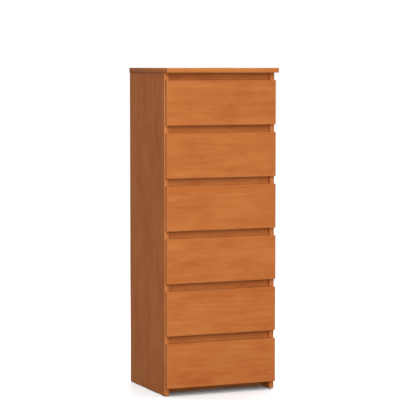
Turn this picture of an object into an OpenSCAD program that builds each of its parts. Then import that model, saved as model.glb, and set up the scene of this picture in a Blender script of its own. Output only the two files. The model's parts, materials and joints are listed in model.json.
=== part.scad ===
// Tall chest of drawers in laminated board.
// Millimetres, +Z up, front towards -Y, origin on the floor at the centre of the overall box.

/* [Overall size] */
// Width across the two side panels
body_w = 400; // [340:1:600]
// Depth from the top's front edge to the back
body_d = 350; // [290:1:520]
// Height from the floor to the top surface
body_h = 1090; // [910:1:1400]

/* [Boards] */
// Thickness of the laminated board
board_t = 16; // [15:0.5:19]
// Thickness of the hardboard back
back_t = 3; // [2.5:0.5:4]
// How far the back stays inside the edges that it covers
back_inset = 2; // [0:0.5:6]

/* [Top] */
// How far the top passes each side panel
top_side_lip = 2; // [0:0.5:12]
// How far the top passes the drawer fronts
top_front_lip = 15; // [0:1:30]

/* [Drawer fronts] */
// Number of drawers
drawer_count = 6; // [4:1:6]
// Height of the finger gap between two fronts
front_gap = 26; // [20:1:34]
// Height of the finger gap over the highest front
top_gap = 25; // [22:1:40]
// Height of the lowest front above the floor
floor_gap = 28; // [24:1:60]
// How far a front's ends stay inside the side panels' outer faces
front_inset = 2; // [0:0.5:6]
// Clearance between a closed front and the side panels' edges
front_seat = 0.5; // [0.3:0.1:2]

/* [Rails and plinth] */
// How far the rails' faces lie behind the side panels' edges
rail_set_back = 14; // [8:1:24]
// How far a rail reaches behind the front above and the front below its gap
rail_cover = 10; // [8:1:12]
// How far the plinth's face lies behind the side panels' edges
plinth_set_back = 65; // [30:1:120]
// Height of the floor glides
glide_h = 2; // [1.5:0.5:5]

/* [Drawer boxes] */
// From a front's lower edge up to its box
box_lift = 26; // [24:1:34]
// From a front's top edge down to its box
box_drop = 22.5; // [20:0.5:30]
// Space between the lowest box and the bottom panel
under_box_gap = 6; // [3:0.5:12]
// Thickness of a drawer's bottom
tray_t = 3; // [2.5:0.5:4]
// From a box's lower edge up to its bottom
groove_lift = 10; // [8:0.5:11]
// How deep the bottom's groove is
groove_depth = 7; // [4:0.5:8]

/* [Runners] */
// Space for a runner between a box and the side panel
runner_gap = 12.5; // [12.5:0.1:14]
// Sheet thickness of the runners
runner_t = 1.2; // [1:0.1:1.4]
// Height of a drawer member above the box's lower edge
runner_rise = 24; // [22:0.5:27]
// Step between the lengths that runners come in
runner_step = 50; // [25:25:50]
// Part of the runner's length that stays in the chest with the drawer pulled out
runner_hold = 75; // [70:1:100]
// Play of a drawer's roller under the cabinet member's upper flange
roller_lift = 0.5; // [0.3:0.1:1]

/* [Hidden] */
$fn = 48;

// Clearances
fit = 0.05;            // round a fastener in its hole
pin_fit = 0.05;        // round a roller's pin
tread_play = 0.1;      // between a roller and the sheet that it carries or rolls on
groove_play = 0.2;     // round a drawer's bottom in its groove
hole_end = 0.5;        // behind the end of a fastener
cut = 1;               // how far a cut runs out into the open

// Places across the chest
half_w = body_w / 2;
side_in_x = half_w - board_t;
side_mid_x = half_w - board_t / 2;
front_x = half_w - front_inset;
box_x = side_in_x - runner_gap;
box_in_x = box_x - board_t;
box_mid_x = box_x - board_t / 2;

// Places from front to back
top_y = -body_d / 2;
rear_y = body_d / 2 - back_t;
front_y = top_y + top_front_lip;
front_rear_y = front_y + board_t;
side_y = front_rear_y + front_seat;
rail_y = side_y + rail_set_back;
plinth_y = side_y + plinth_set_back;

// Heights
top_z = body_h - board_t;
front_h = (top_z - top_gap - floor_gap - (drawer_count - 1) * front_gap) / drawer_count;
front_pitch = front_h + front_gap;
box_h = front_h - box_lift - box_drop;
bottom_top_z = floor_gap + box_lift - under_box_gap;
bottom_z = bottom_top_z - board_t;
plinth_h = bottom_z - glide_h;

// Drawer 1 is the highest
function front_z(i) = floor_gap + (drawer_count - i) * front_pitch;
function box_z(i) = front_z(i) + box_lift;
function rail_z(i) = front_z(i) + front_h - rail_cover;
function rail_h(i) = (i == 1 ? top_z : front_z(i - 1) + rail_cover) - rail_z(i);

// Runners: lengths, then distances out from a box's face (out) and up from its lower edge (up)
runner_end_room = 10;
runner_len = floor((rear_y - side_y - runner_end_room) / runner_step) * runner_step;
travel = runner_len - runner_hold;
box_end_y = front_rear_y + runner_len;
member_y = side_y + 2;
foot_w = 12;
web_out = runner_gap - runner_t;
flange_w = web_out - 1.3;
channel_out = runner_t + 1.5;
channel_up = 1;
channel_top = runner_rise - 3;
channel_mid = (channel_up + channel_top) / 2;
boss_r = 4;
boss_h = 0.9;
pin_head_r = 3.5;
pin_head_h = 0.5;
roller_side_play = 0.1;
roller_w = web_out - channel_out - boss_h - 2 * roller_side_play - pin_head_h;
roller_pin_r = 2.5;
cabinet_roller_r = (runner_rise - 2 * runner_t - tread_play - channel_up - 1.5) / 2;
drawer_roller_r = (channel_top - 2 * runner_t - tread_play - channel_up - roller_lift) / 2;
cabinet_roller_y = member_y + 14;
cabinet_roller_up = runner_rise - runner_t - tread_play - cabinet_roller_r;
cabinet_roller_out = web_out - boss_h - roller_side_play - roller_w;
drawer_roller_y = box_end_y - 12;
drawer_roller_up = channel_up + runner_t + tread_play + drawer_roller_r;
drawer_roller_out = runner_t + boss_h + roller_side_play;
upper_flange_y = cabinet_roller_y + cabinet_roller_r + 0.5;
stop_drop = 3;
stop_play = 0.2;
stop_t = 3;
stop_rise = channel_top - runner_t - stop_drop - drawer_roller_up;
stop_y = drawer_roller_y - travel - sqrt(pow(drawer_roller_r, 2) - pow(stop_rise, 2)) - stop_play;

// Fasteners
cam_d = 15;
cam_h = board_t / 2 + 4.5;
cam_reach = 24;
cam_pocket = 7.4;
cam_slot = 5.2;
bolt_bite = 11;
bolt_thread_r = 2.5;
bolt_collar_r = 3.4;
bolt_bore_r = 3.5;
dowel_r = 4;
dowel_bite = 10;
dowel_reach = 20;
dowel_chamfer = 1;
confirmat_len = 50;
confirmat_head_r = 4.8;
confirmat_neck_r = 3.4;
confirmat_thread_r = 2.6;
web_screw_r = 2.5;
web_screw_len = 13;
web_head_r = 4.3;
web_head_h = 0.7;
box_screw_r = 1.75;
box_screw_len = runner_t + board_t - groove_depth - 1.2;
box_head_r = 3.8;
box_head_h = 0.6;
tray_screw_len = 14;
nail_r = 0.7;
nail_len = 20;
nail_head_r = 2;
nail_head_h = 0.8;
glide_r = board_t / 2 - 0.5;
glide_pin_r = 1;
glide_pin_len = 12;

// Where the fasteners go
edge_step = 50;          // from a board's front and rear edges to its cams
dowel_step = 32;         // from a cam to its dowel
screw_first = 37;        // from the side panels' edges to the first runner screw
screw_pitch = 96;
screw_end_room = 20;
rail_dowel_up = 8;       // from a rail's lower edge
rail_cam_down = 9.5;     // from a rail's upper edge
plinth_dowel_in = 90;    // from the plinth's ends to the dowels in its top edge
box_dowel_up = runner_rise + 12;
box_cam_up = box_h - 22;
confirmat_low = runner_rise + 14;
confirmat_high = box_h - 18;
box_screw_up = runner_rise - runner_t - box_head_r - 1;
tray_screw_in = 40;
nail_room = 46;          // from the corners to the first nail
nail_pitch = 120;
glide_room = 25;
cam_ys = [side_y + edge_step, rear_y - edge_step];
dowel_ys = [side_y + edge_step + dowel_step, rear_y - edge_step - dowel_step];
screw_ys = [for (y = [screw_first:screw_pitch:runner_len - screw_end_room]) side_y + y];
glide_ys = [side_y + glide_room, rear_y - glide_room];

// Node names
function drawer_nodes(i) = [
    for (name = ["front", "sides", "back", "bottom", "runners", "rollers", "fasteners"])
        str("drawer_", i, "_", name)
];

// Colours
alder = "#bd7040";
alder_shade = "#a8622f";
white_board = "#f1efe9";
hardboard = "#8a6242";
zinc = "#c4c6c8";
nylon = "#ecebe6";
beech = "#d9b487";
glide_grey = "#55514c";

// General shapes

module both_sides() {
    children();
    mirror([1, 0, 0])
        children();
}

module board(low, high) {
    translate(low)
        cube(high - low);
}

module each_of(values, along = [0, 1, 0]) {
    for (v = values)
        translate(v * along)
            children();
}

// Along +X from x = a to x = b
module rod(r, a, b) {
    translate([a, 0, 0])
        rotate([0, 90, 0])
            cylinder(r = r, h = b - a);
}

// Turned about X, with its outline as [radius, x] points
module turned(outline) {
    rotate([0, 90, 0])
        rotate_extrude()
            polygon(outline);
}

// A cross driven in from x = 0, with the head's top at x = top
module cross_recess(size, top, depth) {
    for (a = [0, 90])
        rotate([a, 0, 0])
            translate([top, -size / 2, -size / 10])
                cube([depth, size, size / 5]);
}

// Joints. Each stands where two boards meet, halfway through the board that takes the long part:
// +X points into that board and +Z towards the face that its cam is let into.

module cam_lock() {
    translate([cam_reach, 0, board_t / 2 - cam_h])
        difference() {
            cylinder(d = cam_d, h = cam_h);
            translate([0, 0, cam_h - board_t / 2]) {
                cube(cam_pocket, center = true);
                translate([-cam_d / 2, 0, 0])
                    cube([cam_d, cam_slot, cam_pocket], center = true);
            }
            translate([0, 0, cam_h])
                rotate([0, 90, 0])
                    cross_recess(7, 0, 2.4);
        }
}

module cam_bore() {
    translate([cam_reach, 0, board_t / 2 - cam_h - fit])
        cylinder(r = cam_d / 2 + fit, h = cam_h + fit + cut);
}

module cam_bolt() {
    head = cam_reach - 2;
    waist = cam_reach - cam_d / 2 - 1;
    turned([
        [0, -bolt_bite], [bolt_thread_r - 1, -bolt_bite], [bolt_thread_r, 1.5 - bolt_bite],
        [bolt_thread_r, 0], [bolt_collar_r, 0], [bolt_collar_r, 4], [2.8, 4], [2.8, waist],
        [2.1, waist + 0.7], [2.1, head], [bolt_collar_r, head + 0.8], [bolt_collar_r, head + 4], [0, head + 4]
    ]);
}

module bolt_bores() {
    rod(bolt_thread_r + fit, -bolt_bite - hole_end, 0);
    rod(bolt_bore_r, 0, cam_reach);
}

module dowel() {
    turned([
        [0, -dowel_bite], [dowel_r - dowel_chamfer, -dowel_bite], [dowel_r, dowel_chamfer - dowel_bite],
        [dowel_r, dowel_reach - dowel_chamfer], [dowel_r - dowel_chamfer, dowel_reach], [0, dowel_reach]
    ]);
}

module dowel_bore() {
    rod(dowel_r + fit, -dowel_bite - hole_end, dowel_reach + hole_end);
}

// Screws and nails. Each stands where its head's underside seats, driven along +X.

module confirmat() {
    difference() {
        turned([
            [0, 0], [confirmat_head_r, 0], [confirmat_head_r, 0.8], [confirmat_neck_r, 2.6],
            [confirmat_neck_r, 12], [confirmat_thread_r, 13], [confirmat_thread_r, confirmat_len - 3],
            [1.2, confirmat_len], [0, confirmat_len]
        ]);
        translate([-cut, 0, 0])
            rotate([0, 90, 0])
                cylinder(r = 2.3, h = cut + 2.8, $fn = 6);
    }
}

module confirmat_bore() {
    rod(confirmat_head_r + fit, -cut, 0.8 + fit);
    turned([
        [0, 0.8], [confirmat_head_r + fit, 0.8], [confirmat_neck_r + fit, 2.6 + fit],
        [confirmat_neck_r + fit, board_t], [0, board_t]
    ]);
    rod(confirmat_thread_r + fit, board_t, confirmat_len + hole_end);
}

module screw(r, len, head_r, head_h) {
    difference() {
        turned([
            [0, -head_h], [head_r - head_h / 2, -head_h], [head_r, -head_h / 2], [head_r, 0],
            [r, 0], [r, len - 2], [r / 3, len], [0, len]
        ]);
        cross_recess(head_r, -head_h - cut, cut + head_h + 0.6);
    }
}

module screw_bore(r, len) {
    rod(r + fit, -cut, len + hole_end);
}

module nail() {
    turned([
        [0, -nail_head_h], [nail_head_r, -nail_head_h], [nail_head_r, 0], [nail_r, 0],
        [nail_r, nail_len - 2], [nail_r / 4, nail_len], [0, nail_len]
    ]);
}

module nail_bore() {
    rod(nail_head_r + fit, -nail_head_h - cut, 0);
    rod(nail_r + fit, -cut, nail_len + hole_end);
}

// Carcass joints, on the right-hand side

module at_top_joints(ys) {
    translate([side_mid_x, 0, top_z])
        each_of(ys)
            rotate([0, 90, 180])
                children();
}

module at_bottom_joints(ys) {
    translate([side_in_x, 0, bottom_z + board_t / 2])
        each_of(ys)
            rotate([180, 0, 180])
                children();
}

module at_rail_end(i, up) {
    translate([side_in_x, rail_y + board_t / 2, rail_z(i) + up])
        rotate([90, 0, 180])
            children();
}

module at_rail_cams() {
    for (i = [1:drawer_count])
        at_rail_end(i, rail_h(i) - rail_cam_down)
            children();
}

module at_rail_dowels() {
    for (i = [1:drawer_count])
        at_rail_end(i, rail_dowel_up)
            children();
}

module at_plinth_end() {
    translate([side_in_x, plinth_y + board_t / 2, glide_h + plinth_h / 2])
        rotate([90, 0, 180])
            children();
}

module at_plinth_top() {
    translate([side_in_x - plinth_dowel_in, plinth_y + board_t / 2, bottom_z])
        rotate([0, 90, 0])
            children();
}

module at_cabinet_screws(i) {
    translate([box_x + web_out, 0, box_z(i) + channel_mid])
        each_of(screw_ys)
            children();
}

module at_glides() {
    translate([side_mid_x, 0, 0])
        each_of(glide_ys)
            children();
}

// Back nails, driven towards -Y until their heads are flush

module at_nail(x, z) {
    translate([x, rear_y + back_t - nail_head_h, z])
        rotate([0, 0, -90])
            children();
}

module at_side_nails() {
    rows = ceil((body_h - bottom_z - 2 * nail_room) / nail_pitch);
    for (k = [0:rows])
        at_nail(side_mid_x, bottom_z + nail_room + k * (body_h - bottom_z - 2 * nail_room) / rows)
            children();
}

module at_cross_nails(z) {
    columns = ceil(2 * (side_in_x - nail_room) / nail_pitch);
    for (k = [0:columns])
        at_nail((side_in_x - nail_room) * (2 * k / columns - 1), z)
            children();
}

// Carcass boards

module top_panel() {
    color(alder)
        difference() {
            board([-half_w - top_side_lip, top_y, top_z], [half_w + top_side_lip, rear_y, body_h]);
            both_sides() {
                at_top_joints(cam_ys)
                    bolt_bores();
                at_top_joints(dowel_ys)
                    dowel_bore();
            }
            at_cross_nails(top_z + board_t / 2)
                nail_bore();
        }
}

module side_panel() {
    color(alder)
        difference() {
            board([side_in_x, side_y, glide_h], [half_w, rear_y, top_z]);
            at_top_joints(cam_ys) {
                cam_bore();
                bolt_bores();
            }
            at_top_joints(dowel_ys)
                dowel_bore();
            at_bottom_joints(cam_ys)
                bolt_bores();
            at_bottom_joints(dowel_ys)
                dowel_bore();
            at_rail_cams()
                bolt_bores();
            at_rail_dowels()
                dowel_bore();
            at_plinth_end()
                bolt_bores();
            for (i = [1:drawer_count])
                at_cabinet_screws(i)
                    screw_bore(web_screw_r, web_screw_len);
            at_side_nails()
                nail_bore();
            at_glides()
                translate([0, 0, glide_h - cut])
                    cylinder(r = glide_pin_r + fit, h = cut + glide_pin_len + hole_end);
        }
}

module right_side_panel() {
    side_panel();
}

module left_side_panel() {
    mirror([1, 0, 0])
        side_panel();
}

module bottom_panel() {
    color(alder_shade)
        difference() {
            board([-side_in_x, side_y, bottom_z], [side_in_x, rear_y, bottom_top_z]);
            both_sides() {
                at_bottom_joints(cam_ys) {
                    cam_bore();
                    bolt_bores();
                }
                at_bottom_joints(dowel_ys)
                    dowel_bore();
                at_plinth_top()
                    mirror([1, 0, 0])
                        dowel_bore();
            }
            at_cross_nails(bottom_z + board_t / 2)
                nail_bore();
        }
}

module plinth_board() {
    color(alder_shade)
        difference() {
            board([-side_in_x, plinth_y, glide_h], [side_in_x, plinth_y + board_t, bottom_z]);
            both_sides() {
                at_plinth_end() {
                    cam_bore();
                    bolt_bores();
                }
                at_plinth_top()
                    dowel_bore();
            }
        }
}

module back_panel() {
    edge_x = half_w - back_inset;
    color(hardboard)
        difference() {
            board([-edge_x, rear_y, bottom_z + back_inset], [edge_x, rear_y + back_t, body_h - back_inset]);
            both_sides()
                at_side_nails()
                    nail_bore();
            at_cross_nails(top_z + board_t / 2)
                nail_bore();
            at_cross_nails(bottom_z + board_t / 2)
                nail_bore();
        }
}

module gap_rails() {
    color(alder_shade)
        difference() {
            for (i = [1:drawer_count])
                board([-side_in_x, rail_y, rail_z(i)], [side_in_x, rail_y + board_t, rail_z(i) + rail_h(i)]);
            both_sides() {
                at_rail_cams() {
                    cam_bore();
                    bolt_bores();
                }
                at_rail_dowels()
                    dowel_bore();
            }
        }
}

// Carcass hardware

module floor_glides() {
    color(glide_grey)
        both_sides()
            at_glides() {
                rotate_extrude()
                    polygon([
                        [0, 0], [glide_r - 0.8, 0], [glide_r, 0.8], [glide_r, glide_h], [0, glide_h]
                    ]);
                cylinder(r = glide_pin_r, h = glide_h + glide_pin_len);
            }
}

module cam_fittings() {
    color(zinc)
        both_sides() {
            at_top_joints(cam_ys) {
                cam_lock();
                cam_bolt();
            }
            at_bottom_joints(cam_ys) {
                cam_lock();
                cam_bolt();
            }
            at_rail_cams() {
                cam_lock();
                cam_bolt();
            }
            at_plinth_end() {
                cam_lock();
                cam_bolt();
            }
        }
}

module wood_dowels() {
    color(beech)
        both_sides() {
            at_top_joints(dowel_ys)
                dowel();
            at_bottom_joints(dowel_ys)
                dowel();
            at_rail_dowels()
                dowel();
            at_plinth_top()
                dowel();
        }
}

module screws_and_nails() {
    color(zinc) {
        both_sides() {
            for (i = [1:drawer_count])
                at_cabinet_screws(i)
                    screw(web_screw_r, web_screw_len, web_head_r, web_head_h);
            at_side_nails()
                nail();
        }
        at_cross_nails(top_z + board_t / 2)
            nail();
        at_cross_nails(bottom_z + board_t / 2)
            nail();
    }
}

// Runners, on the right-hand side: [out, up] places are measured from the box's lower outer edge

module at_box_edge(i) {
    translate([box_x, 0, box_z(i)])
        children();
}

// A folded strip with its outline as [out, up] points, from y = a to y = b
module folded(outline, a, b) {
    translate([0, b, 0])
        rotate([90, 0, 0])
            linear_extrude(b - a)
                polygon(outline);
}

module cabinet_member() {
    t = runner_t;
    difference() {
        union() {
            folded([
                [channel_out, channel_up], [runner_gap, channel_up], [runner_gap, channel_top],
                [web_out, channel_top], [web_out, channel_up + t], [channel_out, channel_up + t]
            ], member_y, member_y + runner_len);
            folded([
                [channel_out, channel_top - t], [runner_gap, channel_top - t],
                [runner_gap, channel_top], [channel_out, channel_top]
            ], upper_flange_y, member_y + runner_len);
            // Pressed-down tab that the drawer's roller meets at the end of its travel
            translate([channel_out + 1.5, stop_y - stop_t, channel_top - t - stop_drop])
                cube([5, stop_t, stop_drop + t / 2]);
            translate([0, cabinet_roller_y, cabinet_roller_up]) {
                rod(boss_r, web_out - boss_h, web_out + t / 2);
                rod(roller_pin_r, cabinet_roller_out - roller_side_play - pin_head_h, web_out + t / 2);
                rod(pin_head_r, cabinet_roller_out - roller_side_play - pin_head_h,
                    cabinet_roller_out - roller_side_play);
            }
        }
        for (y = screw_ys)
            translate([web_out, y, channel_mid])
                screw_bore(web_screw_r, web_screw_len);
    }
}

module drawer_member() {
    t = runner_t;
    difference() {
        union() {
            folded([
                [-foot_w, -t], [t, -t], [t, runner_rise - t], [flange_w, runner_rise - t],
                [flange_w, runner_rise], [0, runner_rise], [0, 0], [-foot_w, 0]
            ], front_rear_y, box_end_y);
            translate([0, drawer_roller_y, drawer_roller_up]) {
                rod(boss_r, t / 2, t + boss_h);
                rod(roller_pin_r, t / 2, drawer_roller_out + roller_w + roller_side_play + pin_head_h);
                rod(pin_head_r, drawer_roller_out + roller_w + roller_side_play,
                    drawer_roller_out + roller_w + roller_side_play + pin_head_h);
            }
        }
        for (y = screw_ys)
            translate([t, y, box_screw_up])
                rotate([0, 0, 180])
                    screw_bore(box_screw_r, box_screw_len);
    }
}

module roller(r) {
    dish = 1.4;
    hub_r = 4.4;
    rim_r = r - 1.5;
    edge = 0.5;
    turned([
        [roller_pin_r + pin_fit, 0], [hub_r, 0], [hub_r, dish], [rim_r, dish], [rim_r, 0], [r - edge, 0],
        [r, edge], [r, roller_w - edge], [r - edge, roller_w], [rim_r, roller_w],
        [rim_r, roller_w - dish], [hub_r, roller_w - dish], [hub_r, roller_w],
        [roller_pin_r + pin_fit, roller_w]
    ]);
}

module cabinet_runners() {
    color(zinc)
        both_sides()
            for (i = [1:drawer_count])
                at_box_edge(i)
                    cabinet_member();
}

module cabinet_rollers(i) {
    color(nylon)
        both_sides()
            at_box_edge(i)
                translate([cabinet_roller_out, cabinet_roller_y, cabinet_roller_up])
                    roller(cabinet_roller_r);
}

module drawer_runners(i) {
    color(zinc)
        both_sides()
            at_box_edge(i)
                drawer_member();
}

module drawer_rollers(i) {
    color(nylon)
        both_sides()
            at_box_edge(i)
                translate([drawer_roller_out, drawer_roller_y, drawer_roller_up])
                    roller(drawer_roller_r);
}

// Drawer joints, on the right-hand side

module at_front_joint(i, up) {
    translate([box_mid_x, front_rear_y, box_z(i) + up])
        rotate([90, 0, 90])
            children();
}

module at_confirmats(i) {
    for (up = [confirmat_low, confirmat_high])
        translate([box_x, box_end_y - board_t / 2, box_z(i) + up])
            rotate([0, 0, 180])
                children();
}

module at_member_screws(i) {
    translate([box_x + runner_t, 0, box_z(i) + box_screw_up])
        each_of(screw_ys)
            rotate([0, 0, 180])
                children();
}

module at_tray_screws(i) {
    for (x = [-1, 0, 1])
        translate([x * (box_in_x - tray_screw_in), box_end_y - board_t / 2, box_z(i) + groove_lift])
            rotate([0, -90, 0])
                children();
}

// Drawer boards

module tray_groove(i) {
    reach = box_in_x + groove_depth + groove_play;
    board(
        [-reach, front_rear_y - groove_depth - groove_play, box_z(i) + groove_lift],
        [reach, box_end_y + cut, box_z(i) + groove_lift + tray_t + groove_play]
    );
}

module drawer_front(i) {
    color(alder)
        difference() {
            board([-front_x, front_y, front_z(i)], [front_x, front_rear_y, front_z(i) + front_h]);
            tray_groove(i);
            both_sides() {
                at_front_joint(i, box_cam_up)
                    bolt_bores();
                at_front_joint(i, box_dowel_up)
                    dowel_bore();
            }
        }
}

module drawer_sides(i) {
    color(white_board)
        both_sides()
            difference() {
                board([box_in_x, front_rear_y, box_z(i)], [box_x, box_end_y, box_z(i) + box_h]);
                tray_groove(i);
                at_front_joint(i, box_cam_up) {
                    cam_bore();
                    bolt_bores();
                }
                at_front_joint(i, box_dowel_up)
                    dowel_bore();
                at_confirmats(i)
                    confirmat_bore();
                at_member_screws(i)
                    screw_bore(box_screw_r, box_screw_len);
            }
}

module drawer_back(i) {
    low = box_z(i) + groove_lift + tray_t;
    color(white_board)
        difference() {
            board([-box_in_x, box_end_y - board_t, low], [box_in_x, box_end_y, box_z(i) + box_h]);
            both_sides()
                at_confirmats(i)
                    confirmat_bore();
            at_tray_screws(i)
                screw_bore(box_screw_r, tray_screw_len);
        }
}

module drawer_bottom(i) {
    reach = box_in_x + groove_depth;
    color(white_board)
        difference() {
            board(
                [-reach, front_rear_y - groove_depth, box_z(i) + groove_lift],
                [reach, box_end_y, box_z(i) + groove_lift + tray_t]
            );
            at_tray_screws(i)
                screw_bore(box_screw_r, tray_screw_len);
        }
}

module drawer_fasteners(i) {
    color(zinc) {
        both_sides() {
            at_front_joint(i, box_cam_up) {
                cam_lock();
                cam_bolt();
            }
            at_confirmats(i)
                confirmat();
            at_member_screws(i)
                screw(box_screw_r, box_screw_len, box_head_r, box_head_h);
        }
        at_tray_screws(i)
            screw(box_screw_r, tray_screw_len, box_head_r, box_head_h);
    }
    color(beech)
        both_sides()
            at_front_joint(i, box_dowel_up)
                dowel();
}

top_panel();
left_side_panel();
right_side_panel();
bottom_panel();
plinth_board();
back_panel();
gap_rails();
cabinet_runners();
floor_glides();
cam_fittings();
wood_dowels();
screws_and_nails();
for (i = [1:drawer_count]) {
    drawer_front(i);
    drawer_sides(i);
    drawer_back(i);
    drawer_bottom(i);
    drawer_runners(i);
    drawer_rollers(i);
    drawer_fasteners(i);
    cabinet_rollers(i);
}
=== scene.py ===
import json
import math

import bmesh
import bpy
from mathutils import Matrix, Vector

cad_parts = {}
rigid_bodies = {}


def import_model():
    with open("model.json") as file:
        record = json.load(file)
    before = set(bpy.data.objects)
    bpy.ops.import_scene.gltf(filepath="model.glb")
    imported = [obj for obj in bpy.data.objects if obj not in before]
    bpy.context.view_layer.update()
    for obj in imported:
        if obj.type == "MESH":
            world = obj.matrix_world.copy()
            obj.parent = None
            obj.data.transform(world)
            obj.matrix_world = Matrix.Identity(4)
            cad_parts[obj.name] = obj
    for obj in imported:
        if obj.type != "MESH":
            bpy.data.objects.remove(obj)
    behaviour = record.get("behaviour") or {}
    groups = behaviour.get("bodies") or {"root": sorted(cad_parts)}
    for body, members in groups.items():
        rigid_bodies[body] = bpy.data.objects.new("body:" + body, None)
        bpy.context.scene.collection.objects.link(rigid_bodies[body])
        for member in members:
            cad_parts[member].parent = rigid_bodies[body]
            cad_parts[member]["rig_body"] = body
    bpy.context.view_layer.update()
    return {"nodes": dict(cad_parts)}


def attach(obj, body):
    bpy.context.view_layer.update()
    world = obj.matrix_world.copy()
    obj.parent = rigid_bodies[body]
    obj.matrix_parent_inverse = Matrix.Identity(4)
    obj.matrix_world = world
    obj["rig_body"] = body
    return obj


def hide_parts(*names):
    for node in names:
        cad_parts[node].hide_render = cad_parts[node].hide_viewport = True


# Tall chest of drawers: the camera and studio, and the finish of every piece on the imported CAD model.
# The studio's lengths are metres. The pieces' lengths are millimetres, and mm turns them into metres.

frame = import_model()
bpy.ops.object.select_all(action="DESELECT")
mm = 0.001
axes = "xyz"
drawers = range(1, 1 + sum(name.endswith("_front") for name in frame["nodes"]))
print("frame loaded with", len(frame["nodes"]), "CAD nodes and", len(drawers), "drawers")


# Camera and studio

def hexColour(code):  # sRGB hex to the linear numbers that shaders read
    parts = [int(code[i:i + 2], 16) / 255 for i in (1, 3, 5)]
    return [p / 12.92 if p <= 0.04045 else ((p + 0.055) / 1.055) ** 2.4 for p in parts] + [1.0]


def addNode(tree, kind, settings=None, links=None):
    # Keys name a property or a socket. "stops" are a colour ramp's places and hex colours, in rising order.
    node = tree.nodes.new(kind)
    for key, value in (settings or {}).items():
        if key == "stops":
            points = node.color_ramp.elements
            for number, (place, colour) in enumerate(value):
                point = points[number] if number < len(points) else points.new(place)
                point.position = place
                point.color = hexColour(colour)
        elif isinstance(key, str) and hasattr(node, key):
            setattr(node, key, value)
        else:
            node.inputs[key].default_value = value
    for key, source in (links or {}).items():
        tree.links.new(source, node.inputs[key])
    return node


cameraSetup = {
    "place": (-2.429, -5.666, 1.098),
    "yaw": 23.11,
    "pitch": 4.25,
    "lens": 163.0,  # in mm, as the sensor is
    "sensor": 36,
}


def makeCamera():
    turn = (math.radians(90 - cameraSetup["pitch"]), 0, math.radians(-cameraSetup["yaw"]))
    bpy.ops.object.camera_add(location=cameraSetup["place"], rotation=turn)
    camera = bpy.context.object
    camera.name = "camera"
    camera.data.lens = cameraSetup["lens"]
    camera.data.sensor_width = cameraSetup["sensor"]
    bpy.context.scene.camera = camera


backdrop = {
    "white": "#ffffff",
    "fill": 0.225,
    "floorSize": 7.0,
    "floorFade": (1.2, 3.2),  # from full to clear, by the distance from the chest
    "floorSeen": "#fafdff",
    "floorBounced": "#6c6c6c",
}


def mixByCameraRay(tree, output, seen, other):  # one look for the lens, another for bounced light
    path = addNode(tree, "ShaderNodeLightPath")
    links = {0: path.outputs["Is Camera Ray"], 1: other.outputs[0], 2: seen.outputs[0]}
    mix = addNode(tree, "ShaderNodeMixShader", None, links)
    addNode(tree, output, None, {"Surface": mix.outputs[0]})


def makeWorld():
    world = bpy.data.worlds.new("whiteStudio")
    world.use_nodes = True
    bpy.context.scene.world = world
    tree = world.node_tree
    tree.nodes.clear()
    white = hexColour(backdrop["white"])
    seen = addNode(tree, "ShaderNodeBackground", {"Color": white})
    fill = addNode(tree, "ShaderNodeBackground", {"Color": white, "Strength": backdrop["fill"]})
    mixByCameraRay(tree, "ShaderNodeOutputWorld", seen, fill)


def makeFloor():
    bpy.ops.mesh.primitive_plane_add(size=backdrop["floorSize"])
    floor = bpy.context.object
    floor.name = "studioFloor"
    material = bpy.data.materials.new("mattPaper")
    material.use_nodes = True
    tree = material.node_tree
    tree.nodes.clear()
    paper = addNode(tree, "ShaderNodeBsdfDiffuse", {"Color": hexColour(backdrop["floorSeen"])})
    clear = addNode(tree, "ShaderNodeBsdfTransparent")
    place = addNode(tree, "ShaderNodeTexCoord")
    away = addNode(tree, "ShaderNodeVectorMath", {"operation": "LENGTH"}, {0: place.outputs["Object"]})
    near, far = backdrop["floorFade"]
    fade = addNode(tree, "ShaderNodeMapRange", {"From Min": near, "From Max": far}, {
        "Value": away.outputs["Value"],
    })
    side = addNode(tree, "ShaderNodeNewGeometry")  # clear from below, so that the underside can be looked at
    through = addNode(tree, "ShaderNodeMath", {"operation": "MAXIMUM"}, {
        0: fade.outputs[0], 1: side.outputs["Backfacing"],
    })
    seen = addNode(tree, "ShaderNodeMixShader", None, {
        0: through.outputs[0], 1: paper.outputs[0], 2: clear.outputs[0],
    })
    bounced = addNode(tree, "ShaderNodeBsdfDiffuse", {"Color": hexColour(backdrop["floorBounced"])})
    mixByCameraRay(tree, "ShaderNodeOutputMaterial", seen, bounced)
    floor.data.materials.append(material)


softboxes = {
    "keySoftbox": {"azimuth": -20, "height": 17, "away": 5.6, "size": (2.0, 4.2), "power": 270},
    "rearSoftbox": {"azimuth": 150, "height": 42, "away": 6.0, "size": (3.0, 3.0), "power": 250},
}
softboxAim = (0, 0, 0.6)
overheadLight = {"power": 2.15, "spread": 70}


def makeLights():
    for name, box in softboxes.items():
        turn, rise = math.radians(box["azimuth"]), math.radians(box["height"])
        out = Vector((math.sin(turn) * math.cos(rise), -math.cos(turn) * math.cos(rise), math.sin(rise)))
        place = Vector(softboxAim) + out * box["away"]
        turned = out.to_track_quat("Z", "Y").to_euler()
        bpy.ops.object.light_add(type="AREA", location=place, rotation=turned)
        light = bpy.context.object
        light.name = name
        light.data.shape = "RECTANGLE"
        light.data.size, light.data.size_y = box["size"]
        light.data.energy = box["power"]
        light.visible_camera = False
    bpy.ops.object.light_add(type="SUN")
    overhead = bpy.context.object
    overhead.name = "overheadLight"
    overhead.data.energy = overheadLight["power"]
    overhead.data.angle = math.radians(overheadLight["spread"])


makeCamera()
makeWorld()
makeFloor()
makeLights()
bpy.context.scene.view_settings.view_transform = "Standard"
print("studio ready")


# Materials

def newMaterial(name, look):  # look holds the shader's own constants under "shader"
    material = bpy.data.materials.new(name)
    material.use_nodes = True
    tree = material.node_tree
    shader = tree.nodes["Principled BSDF"]
    for socket, value in look["shader"].items():
        shader.inputs[socket].default_value = value
    return material, tree, shader


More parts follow.
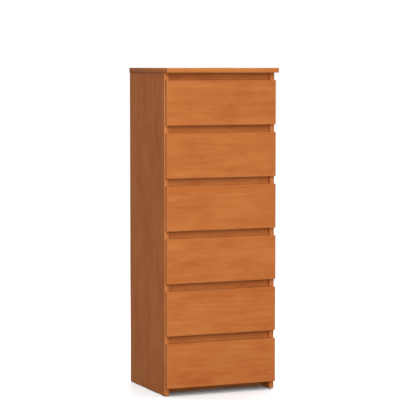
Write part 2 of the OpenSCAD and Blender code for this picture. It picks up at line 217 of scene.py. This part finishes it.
def patternScale(run, across, along):  # patterns per metre on each axis, from their sizes in mm
    return tuple(1 / ((along if axis == run else across) * mm) for axis in axes)


def layered(tree, place, layers, run=None):
    # Adds noise patterns up to one value round 0.5. A layer has its sizes across and along the run in mm,
    # its share, detail and bend. Fibres, pores and pebbles are really a few hundredths of a mm wide, and are
    # drawn 0.5 to 1 mm wide, or they would not show.
    total = None
    for across, along, share, detail, bend in layers:
        scale = patternScale(run, across, along)
        spread = addNode(tree, "ShaderNodeMapping", {"Scale": scale}, {"Vector": place})
        noise = addNode(tree, "ShaderNodeTexNoise", {
            "Scale": 1.0, "Detail": detail, "Distortion": bend,
        }, {"Vector": spread.outputs[0]})
        centred = addNode(tree, "ShaderNodeMath", {"operation": "SUBTRACT", 1: 0.5}, {
            0: noise.outputs["Fac"],
        })
        added = addNode(tree, "ShaderNodeMath", {"operation": "MULTIPLY_ADD", 1: share, 2: 0.5}, {
            0: centred.outputs[0],
        })
        if total:
            tree.links.new(total, added.inputs[2])
        total = added.outputs[0]
    return total


alderLook = {
    "shader": {"IOR": 1.5, "Specular IOR Level": 0.3},
    "colours": [(0.30, "#ac5722"), (0.43, "#bb682e"), (0.56, "#c57538"), (0.74, "#cf864b")],
    "figure": [  # across mm, along mm, share, detail, bend
        (46, 90, 0.31, 3.0, 0.35),
        (30, 340, 0.24, 3.0, 0.2),
        (4, 230, 0.16, 3.0, 0.1),
        (1.1, 40, 0.20, 3.0, 0.0),
        (0.5, 7, 0.12, 1.0, 0.0),
    ],
    "rings": {"across": 60, "along": 700, "lines": 8, "soft": 0.75, "share": 0.06},
    "knots": {
        "colour": "#7c3a1c", "every": 60, "along": 132, "size": 3.2, "core": 0.2, "dark": 0.5, "bare": 0.8,
    },
    "pores": [(0.9, 9, 1.0, 2.0, 0.0)],
    "poreDepth": 0.02,
    "roughness": (0.50, 0.40),  # where the print is darkest and palest
    # how much paler the edge bands are: partly the strip's own tone, partly a painted highlight along the
    # board edges
    "bandPaleAndHighlight": 0.06,
}


def growthRings(tree, place, run):  # contour lines of broad soft hills, dark on one side of each line
    rings = alderLook["rings"]
    scale = patternScale(run, rings["across"], rings["along"])
    spread = addNode(tree, "ShaderNodeMapping", {"Scale": scale}, {"Vector": place})
    hills = addNode(tree, "ShaderNodeTexNoise", {"Scale": 1.0, "Detail": 1.0}, {"Vector": spread.outputs[0]})
    lines = addNode(tree, "ShaderNodeMath", {"operation": "MULTIPLY", 1: rings["lines"]}, {
        0: hills.outputs["Fac"],
    })
    saw = addNode(tree, "ShaderNodeMath", {"operation": "FRACT"}, {0: lines.outputs[0]})
    soft = addNode(tree, "ShaderNodeMapRange", {
        "interpolation_type": "SMOOTHSTEP", "From Min": rings["soft"], "To Min": 1.0, "To Max": 0.0,
    }, {"Value": saw.outputs[0]})
    return addNode(tree, "ShaderNodeMath", {"operation": "MULTIPLY"}, {
        0: saw.outputs[0], 1: soft.outputs[0],
    }).outputs[0]


def pinKnots(tree, place, run):  # a small knot in about one cell in five, drawn out along the run
    knots = alderLook["knots"]
    scale = patternScale(run, knots["every"], knots["along"])
    spread = addNode(tree, "ShaderNodeMapping", {"Scale": scale}, {"Vector": place})
    cells = addNode(tree, "ShaderNodeTexVoronoi", {"Scale": 1.0, "Randomness": 1.0}, {
        "Vector": spread.outputs[0],
    })
    lot = addNode(tree, "ShaderNodeSeparateColor", None, {"Color": cells.outputs["Color"]})
    picked = addNode(tree, "ShaderNodeMath", {"operation": "GREATER_THAN", 1: knots["bare"]}, {
        0: lot.outputs[0],
    })
    rim = knots["size"] / knots["every"]
    near = addNode(tree, "ShaderNodeMapRange", {
        "From Min": knots["core"] * rim, "From Max": rim, "To Min": knots["dark"], "To Max": 0.0,
    }, {"Value": cells.outputs["Distance"]})
    return addNode(tree, "ShaderNodeMath", {"operation": "MULTIPLY"}, {
        0: near.outputs[0], 1: picked.outputs[0],
    }).outputs[0]


def alderLaminate(name, run, lighter=0.0):
    # Melamine paper with a printed alder decor, pressed on chipboard with a satin plate: reddish orange wood
    # with soft cloudy bands along the run, fine dark fibres, a few pin knots and a low even shine.
    material, tree, shader = newMaterial(name, alderLook)
    place = addNode(tree, "ShaderNodeTexCoord").outputs["Object"]
    figure = layered(tree, place, alderLook["figure"], run)
    ringed = addNode(tree, "ShaderNodeMath", {"operation": "MULTIPLY_ADD", 1: -alderLook["rings"]["share"]}, {
        0: growthRings(tree, place, run), 2: figure,
    })
    # the lift makes the edge bands paler: partly their own tone, partly a painted highlight on the edges
    grain = addNode(tree, "ShaderNodeMath", {"operation": "ADD", 1: lighter}, {0: ringed.outputs[0]})
    wood = addNode(tree, "ShaderNodeValToRGB", {"stops": alderLook["colours"]}, {"Fac": grain.outputs[0]})
    knotColour = hexColour(alderLook["knots"]["colour"])
    colour = addNode(tree, "ShaderNodeMix", {"data_type": "RGBA", 7: knotColour}, {
        0: pinKnots(tree, place, run), 6: wood.outputs["Color"],
    })
    dark, pale = alderLook["roughness"]
    gloss = addNode(tree, "ShaderNodeMapRange", {"To Min": dark, "To Max": pale}, {"Value": grain.outputs[0]})
    pores = layered(tree, place, alderLook["pores"], run)
    relief = addNode(tree, "ShaderNodeBump", {"Distance": alderLook["poreDepth"] * mm}, {"Height": pores})
    tree.links.new(colour.outputs[2], shader.inputs["Base Color"])
    tree.links.new(gloss.outputs[0], shader.inputs["Roughness"])
    tree.links.new(relief.outputs[0], shader.inputs["Normal"])
    return material


plainLooks = {
    # Melamine paper pressed with a pearl plate, soft white with a fine even pebble.
    "whitePearlLaminate": {
        "shader": {"Roughness": 0.42, "IOR": 1.5},
        "pattern": [(0.9, 0.9, 0.6, 2.0, 0.0), (120, 120, 0.5, 1.0, 0.0)],
        "colours": [(0.2, "#e9e7e1"), (0.8, "#f4f3ef")],
        "depth": 0.03,
    },
    # Extruded white ABS strip, smoother and a touch warmer than the laminate.
    "whiteEdgeBand": {
        "shader": {"Roughness": 0.34, "IOR": 1.53},
        "pattern": [(3, 3, 0.5, 2.0, 0.0)],
        "colours": [(0.2, "#eceae3"), (0.8, "#f3f1eb")],
        "depth": 0.01,
    },
    # Hot-melt glue squeezed to a hair's breadth beside the band: a fine darker line.
    "glueLine": {
        "shader": {"Roughness": 0.5, "IOR": 1.48},
        "pattern": [(1.5, 1.5, 0.6, 2.0, 0.0)],
        "colours": [(0.2, "#7a5a3e"), (0.8, "#a58660")],
        "depth": 0.01,
    },
    # Raw chipboard, sawn: pale flakes and darker splinters with open pits between them.
    "sawnChipboard": {
        "shader": {"Roughness": 0.85, "IOR": 1.45, "Specular IOR Level": 0.25},
        "pattern": [(1.4, 1.4, 1.3, 3.0, 0.8), (4.5, 4.5, 0.7, 2.0, 0.5), (0.5, 0.5, 0.5, 1.0, 0.0)],
        "colours": [(0.2, "#7d5c39"), (0.42, "#b08a5a"), (0.6, "#c9a878"), (0.85, "#dcc39a")],
        "depth": 0.25,
    },
    # White roller-coated hardboard: thin lacquer over fibres that still show as a faint unevenness.
    "whiteLacqueredHardboard": {
        "shader": {"Roughness": 0.36, "IOR": 1.5},
        "pattern": [(2.2, 2.2, 0.5, 3.0, 0.2), (160, 160, 0.5, 1.0, 0.0)],
        "colours": [(0.2, "#e6e3da"), (0.8, "#f1efe8")],
        "depth": 0.02,
    },
    # Raw hardboard, hot-pressed: brown matted fibres with lighter hairs and cloudy patches.
    "rawHardboard": {
        "shader": {"Roughness": 0.8, "IOR": 1.45, "Specular IOR Level": 0.3},
        "pattern": [(0.8, 0.8, 0.7, 3.0, 1.2), (3.5, 3.5, 0.5, 3.0, 0.8), (90, 90, 0.16, 2.0, 0.4)],
        "colours": [(0.2, "#74502f"), (0.5, "#8a6242"), (0.8, "#a07a56")],
        "depth": 0.08,
    },
    # Powder-coated sheet steel, off-white with the soft orange peel of baked powder.
    "powderCoatedSteel": {
        "shader": {"Roughness": 0.38, "IOR": 1.5, "Coat Weight": 0.15, "Coat Roughness": 0.25},
        "pattern": [(1.8, 1.8, 0.6, 2.0, 0.3), (40, 40, 0.3, 1.0, 0.0)],
        "colours": [(0.2, "#dedcd5"), (0.8, "#eceae4")],
        "depth": 0.05,
    },
    # Moulded nylon, milky ivory, with faint flow marks and a little light going into it.
    "mouldedNylon": {
        "shader": {
            "Roughness": 0.33,
            "IOR": 1.53,
            "Subsurface Weight": 0.12,
            "Subsurface Radius": (0.002, 0.0016, 0.0012),
        },
        "pattern": [(5, 5, 0.5, 2.0, 0.8), (0.7, 0.7, 0.25, 1.0, 0.0)],
        "colours": [(0.2, "#dfdcd0"), (0.8, "#efede4")],
        "depth": 0.015,
    },
    # Die-cast zinc, tumbled: dull grey with a fine cast grain.
    "dieCastZinc": {
        "shader": {"Metallic": 1.0, "Roughness": 0.42},
        "pattern": [(0.7, 0.7, 0.7, 2.0, 0.4), (6, 6, 0.5, 2.0, 0.0)],
        "colours": [(0.2, "#96999c"), (0.8, "#b9bcbf")],
        "depth": 0.03,
    },
    # Zinc-plated steel screws, bolts and nails: bright bluish metal with faint cloudy passivation.
    "zincPlatedSteel": {
        "shader": {"Metallic": 1.0, "Roughness": 0.28},
        "pattern": [(2.5, 2.5, 0.7, 2.0, 0.6)],
        "colours": [(0.2, "#b4b8bf"), (0.5, "#c6c9cc"), (0.8, "#cfcdc2")],
        "depth": 0.01,
    },
    # Turned and fluted beech, matt and pale with small darker flecks.
    "turnedBeech": {
        "shader": {"Roughness": 0.7, "IOR": 1.45},
        "pattern": [(0.7, 6, 0.8, 2.0, 0.2), (3, 20, 0.5, 1.0, 0.0)],
        "colours": [(0.2, "#b98a5c"), (0.5, "#d2a97c"), (0.8, "#e0bf97")],
        "depth": 0.03,
    },
    # Injection-moulded polyethylene: dark grey, waxy, with a faintly spark-eroded skin.
    "mouldedPolyethylene": {
        "shader": {"Roughness": 0.5, "IOR": 1.51},
        "pattern": [(0.6, 0.6, 0.6, 2.0, 0.0), (5, 5, 0.3, 1.0, 0.0)],
        "colours": [(0.2, "#45423e"), (0.8, "#5f5b56")],
        "depth": 0.03,
    },
}


def plainMaterial(name):
    look = plainLooks[name]
    material, tree, shader = newMaterial(name, look)
    place = addNode(tree, "ShaderNodeTexCoord").outputs["Object"]
    pattern = layered(tree, place, look["pattern"])
    colour = addNode(tree, "ShaderNodeValToRGB", {"stops": look["colours"]}, {"Fac": pattern})
    relief = addNode(tree, "ShaderNodeBump", {"Distance": look["depth"] * mm}, {"Height": pattern})
    tree.links.new(colour.outputs["Color"], shader.inputs["Base Color"])
    tree.links.new(relief.outputs[0], shader.inputs["Normal"])
    return material


finish = {name: plainMaterial(name) for name in plainLooks}
for axis in axes:
    laminate, band = "alderLaminate" + axis.upper(), "alderEdgeBand" + axis.upper()
    finish[laminate] = alderLaminate(laminate, axis)
    # Calendered ABS strip in the same decor, glued round the board's edges: paler than the laminate, partly
    # its own tone and partly a painted highlight on every banded edge
    finish[band] = alderLaminate(band, axis, alderLook["bandPaleAndHighlight"])
print("materials ready:", len(finish))


# Boards

meshing = {
    "apart": 0.001,  # nearer corners are one corner
    "flat": 0.5,  # faces that differ by less, in degrees, are one face
    "onSide": 0.002,  # a nearer point lies on that side of the box
    "faces": 0.99,  # a face looks along an axis when its normal has more than that share of it
    "smooth": 35,  # edges that bend more, in degrees, stay sharp
}
bandLook = {"thick": 0.8, "glue": 0.15, "round": 0.6, "steps": 2}
boardPlans = {  # the axis across the board, its laminate, the run of the decor and the banded sides
    "top_panel": {"thick": "z", "skin": "alder", "run": "x", "banded": ("-y", "-x", "+x")},
    "left_side_panel": {"thick": "x", "skin": "alder", "run": "z", "banded": ("-y", "-z")},
    "right_side_panel": {"thick": "x", "skin": "alder", "run": "z", "banded": ("-y", "-z")},
    "bottom_panel": {"thick": "z", "skin": "alder", "run": "x", "banded": ("-y",)},
    "plinth_board": {"thick": "y", "skin": "alder", "run": "x", "banded": ("-z",)},
    "gap_rails": {"thick": "y", "skin": "alder", "run": "x", "banded": ("-z", "+z")},
}
allRound = ("-z", "+z", "-x", "+x")
for i in drawers:
    boardPlans[f"drawer_{i}_front"] = {"thick": "y", "skin": "alder", "run": "x", "banded": allRound}
    boardPlans[f"drawer_{i}_sides"] = {"thick": "x", "skin": "white", "banded": ("+z",)}
    boardPlans[f"drawer_{i}_back"] = {"thick": "y", "skin": "white", "banded": ("+z",)}


def startEdit(piece):
    bpy.ops.object.select_all(action="DESELECT")
    piece.select_set(True)
    bpy.context.view_layer.objects.active = piece
    bpy.ops.object.mode_set(mode="EDIT")


def pick(piece, kind, test):  # in edit mode, selects the corners or edges that pass the test
    bpy.ops.mesh.select_mode(type=kind)
    bpy.ops.mesh.select_all(action="DESELECT")
    mesh = bmesh.from_edit_mesh(piece.data)
    for item in mesh.verts if kind == "VERT" else mesh.edges:
        item.select_set(test(item))
    bmesh.update_edit_mesh(piece.data)


def meshBox(piece):
    corners = [v.co for v in piece.data.vertices]
    low = Vector([min(c[k] for c in corners) for k in range(3)])
    high = Vector([max(c[k] for c in corners) for k in range(3)])
    return low, high


def boxOrder(piece):  # sorts pieces by the place of their box
    low, high = meshBox(piece)
    return tuple(round(c, 4) for c in low + high)


def mergedCopies(node):
    # New pieces from a CAD node, one for each of its solids, with the loose triangles merged into whole faces
    mesh = frame["nodes"][node].data.copy()
    mesh.materials.clear()
    piece = bpy.data.objects.new(node + "_piece", mesh)
    bpy.context.scene.collection.objects.link(piece)
    startEdit(piece)
    bpy.ops.mesh.customdata_custom_splitnormals_clear()
    bpy.ops.mesh.select_all(action="SELECT")
    bpy.ops.mesh.remove_doubles(threshold=meshing["apart"] * mm)
    bpy.ops.mesh.dissolve_limited(angle_limit=math.radians(meshing["flat"]))
    bpy.ops.mesh.separate(type="LOOSE")
    bpy.ops.object.mode_set(mode="OBJECT")
    return sorted(bpy.context.selected_objects, key=boxOrder)


def inside(point, side, low, high):  # how many mm the point lies inside that side of the box
    k = axes.index(side[1])
    return abs(point[k] - (high if side[0] == "+" else low)[k]) / mm


def bandBoard(board, plan, low, high):  # rounds the banded edges and cuts the seams of each band and its glue
    allSides = [sign + axis for axis in axes for sign in "-+"]

    def edgeOn(edge, side):
        return all(inside(v.co, side, low, high) < meshing["onSide"] for v in edge.verts)

    def bandEdge(edge):
        for side in plan["banded"]:
            if edgeOn(edge, side):
                return any(edgeOn(edge, other) for other in allSides if other[1] != side[1])
        return False

    startEdit(board)
    pick(board, "EDGE", bandEdge)
    bpy.ops.mesh.bevel(offset=bandLook["round"] * mm, segments=bandLook["steps"], affect="EDGES")
    for side in plan["banded"]:
        k = axes.index(side[1])
        sign = 1 if side[0] == "+" else -1
        for depth in (bandLook["thick"], bandLook["thick"] + bandLook["glue"]):
            seam = (high if sign > 0 else low).copy()
            seam[k] -= sign * depth * mm
            bpy.ops.mesh.select_all(action="SELECT")
            bpy.ops.mesh.bisect(plane_co=seam, plane_no=[float(n == k) for n in range(3)])
    bpy.ops.object.mode_set(mode="OBJECT")


def finishBoard(board, plan, low, high):  # laminate on the two faces, band and glue by depth, else chipboard
    laminate, chipboard, glue, band = range(4)
    names = ["whitePearlLaminate", "sawnChipboard", "glueLine", "whiteEdgeBand"]
    bands = dict.fromkeys(axes, band)
    if plan["skin"] == "alder":
        names[laminate] = "alderLaminate" + plan["run"].upper()
        names[band:] = ["alderEdgeBand" + axis.upper() for axis in axes]
        bands = {axis: band + k for k, axis in enumerate(axes)}
    for name in names:
        board.data.materials.append(finish[name])
    glueDepth = bandLook["thick"] + bandLook["glue"]
    thick = plan["thick"]
    for face in board.data.polygons:
        outer = min(inside(face.center, sign + thick, low, high) for sign in "-+") < meshing["onSide"]
        flat = abs(face.normal[axes.index(thick)]) > meshing["faces"]
        face.material_index = laminate if outer and flat else chipboard
        for side in plan["banded"]:
            depth = inside(face.center, side, low, high)
            if depth < bandLook["thick"]:
                run = next(axis for axis in axes if axis not in (side[1], thick))
                face.material_index = bands[run]
            elif depth < glueDepth and face.material_index in (laminate, chipboard):
                face.material_index = glue


def smooth(piece):
    bpy.ops.object.select_all(action="DESELECT")
    piece.select_set(True)
    bpy.context.view_layer.objects.active = piece
    bpy.ops.object.shade_smooth_by_angle(angle=math.radians(meshing["smooth"]))


def stand(piece, name, node):  # the piece stands for the CAD node and moves with its body
    piece.name = name
    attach(piece, frame["nodes"][node]["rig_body"])
    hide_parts(node)


for node, plan in boardPlans.items():
    boards = mergedCopies(node)
    for number, board in enumerate(boards, 1):
        low, high = meshBox(board)
        bandBoard(board, plan, low, high)
        finishBoard(board, plan, low, high)
        smooth(board)
        name = node.replace("_sides", "_side").replace("gap_rails", "gap_rail")
        if len(boards) > 1:
            name = f"{name}_{number}"
        stand(board, name + "_board", node)
print("boards banded:", len(boardPlans))


# Hardboard sheets

def dressSheet(node, name, white):  # lacquered on the side that faces into the chest
    piece = mergedCopies(node)[0]
    for material in ("rawHardboard", "whiteLacqueredHardboard"):
        piece.data.materials.append(finish[material])
    for face in piece.data.polygons:
        face.material_index = int(face.normal.dot(Vector(white)) > meshing["faces"])
    smooth(piece)
    stand(piece, name, node)


dressSheet("back_panel", "back_sheet", (0, -1, 0))
for i in drawers:
    dressSheet(f"drawer_{i}_bottom", f"drawer_{i}_bottom_sheet", (0, 0, 1))
print("hardboard sheets done")


# Hardware

hardwarePlans = {  # finish and slot
    "cabinet_runners": ("powderCoatedSteel", "runner_steel"),
    "floor_glides": ("mouldedPolyethylene", "glide_plastic"),
    "cam_fittings": ("zincPlatedSteel", "zinc_fittings"),
    "wood_dowels": ("turnedBeech", "beech_dowel"),
    "screws_and_nails": ("zincPlatedSteel", "zinc_fittings"),
}
for i in drawers:
    hardwarePlans[f"drawer_{i}_runners"] = ("powderCoatedSteel", "runner_steel")
    hardwarePlans[f"drawer_{i}_rollers"] = ("mouldedNylon", "roller_nylon")
    hardwarePlans[f"cabinet_rollers_{i}"] = ("mouldedNylon", "roller_nylon")
    hardwarePlans[f"drawer_{i}_fasteners"] = ("zincPlatedSteel", "zinc_fittings")
foldLook = {"sheet": 1.2, "bend": 0.5, "outer": 1.5, "inner": 0.35, "steps": 3, "shortest": 60}
spareSlots = {
    "high": 4.2,
    "up": 19.2,
    "corners": 18,
    "places": [(55, 8), (85, 0), (151, 8), (181, 0), (247, 8)],  # from the front end, and how far drawn out
    "through": 1.2,  # the punch's length in web widths
}
fittingSizes = {"cam": 15.0, "dowel": [8.0, 8.0, 30.0]}


def joined(parts):
    bpy.ops.object.select_all(action="DESELECT")
    for part in parts:
        part.select_set(True)
    bpy.context.view_layer.objects.active = parts[0]
    bpy.ops.object.join()
    return parts[0]


def roundFolds(piece):  # the long bends of a pressed runner, wider outside than inside the bend
    def fold(edge, outside):
        if len(edge.link_faces) != 2 or edge.calc_length() < foldLook["shortest"] * mm:
            return False
        along = (edge.verts[1].co - edge.verts[0].co).normalized()
        start = edge.verts[0].co
        wide = [max((v.co - start).cross(along).length for v in f.verts) for f in edge.link_faces]
        bent = edge.calc_face_angle_signed()
        if min(wide) < 2 * foldLook["sheet"] * mm or abs(bent) < foldLook["bend"]:
            return False
        return (bent > 0) == outside

    startEdit(piece)
    for outside, radius in ((True, foldLook["outer"]), (False, foldLook["inner"])):
        pick(piece, "EDGE", lambda edge: fold(edge, outside))
        bpy.ops.mesh.bevel(offset=radius * mm, segments=foldLook["steps"], affect="EDGES")
    bpy.ops.object.mode_set(mode="OBJECT")


def punchSlots(runner):  # spare screw slots and holes through a drawer runner's web
    low, high = meshBox(runner)
    width = high.x - low.x
    punches = []
    for back, longer in spareSlots["places"]:
        middle = Vector((low.x + width / 2, low.y + back * mm, low.z + spareSlots["up"] * mm))
        bpy.ops.mesh.primitive_cylinder_add(
            vertices=spareSlots["corners"],
            radius=spareSlots["high"] / 2 * mm,
            depth=spareSlots["through"] * width,
            location=middle,
            rotation=(0, math.pi / 2, 0),
        )
        punch = bpy.context.object
        bpy.ops.object.transform_apply()
        startEdit(punch)
        pick(punch, "VERT", lambda corner: corner.co.y > middle.y)
        bpy.ops.transform.translate(value=(0, longer * mm, 0))
        bpy.ops.object.mode_set(mode="OBJECT")
        punches.append(punch)
    punch = joined(punches)
    cut = runner.modifiers.new("spareSlots", "BOOLEAN")
    cut.operation = "DIFFERENCE"
    cut.solver = "EXACT"
    cut.object = punch
    bpy.context.view_layer.objects.active = runner
    bpy.ops.object.modifier_apply(modifier=cut.name)
    bpy.data.objects.remove(punch)


def fittingFinish(part, usual):  # mixed fittings hold cams, which are discs, and dowels, known by their sizes
    low, high = meshBox(part)
    size = sorted(round(c / mm, 1) for c in high - low)
    if size[1:] == [fittingSizes["cam"]] * 2:
        return "dieCastZinc"
    if size == fittingSizes["dowel"]:
        return "turnedBeech"
    return usual


for node, (material, slot) in hardwarePlans.items():
    parts = mergedCopies(node)
    for part in parts:
        if material == "powderCoatedSteel":
            roundFolds(part)
            if node.startswith("drawer"):
                punchSlots(part)
        part.data.materials.append(finish[fittingFinish(part, material)])
    piece = joined(parts)
    smooth(piece)
    stand(piece, node + "_finished", node)
print("hardware finished:", len(hardwarePlans))
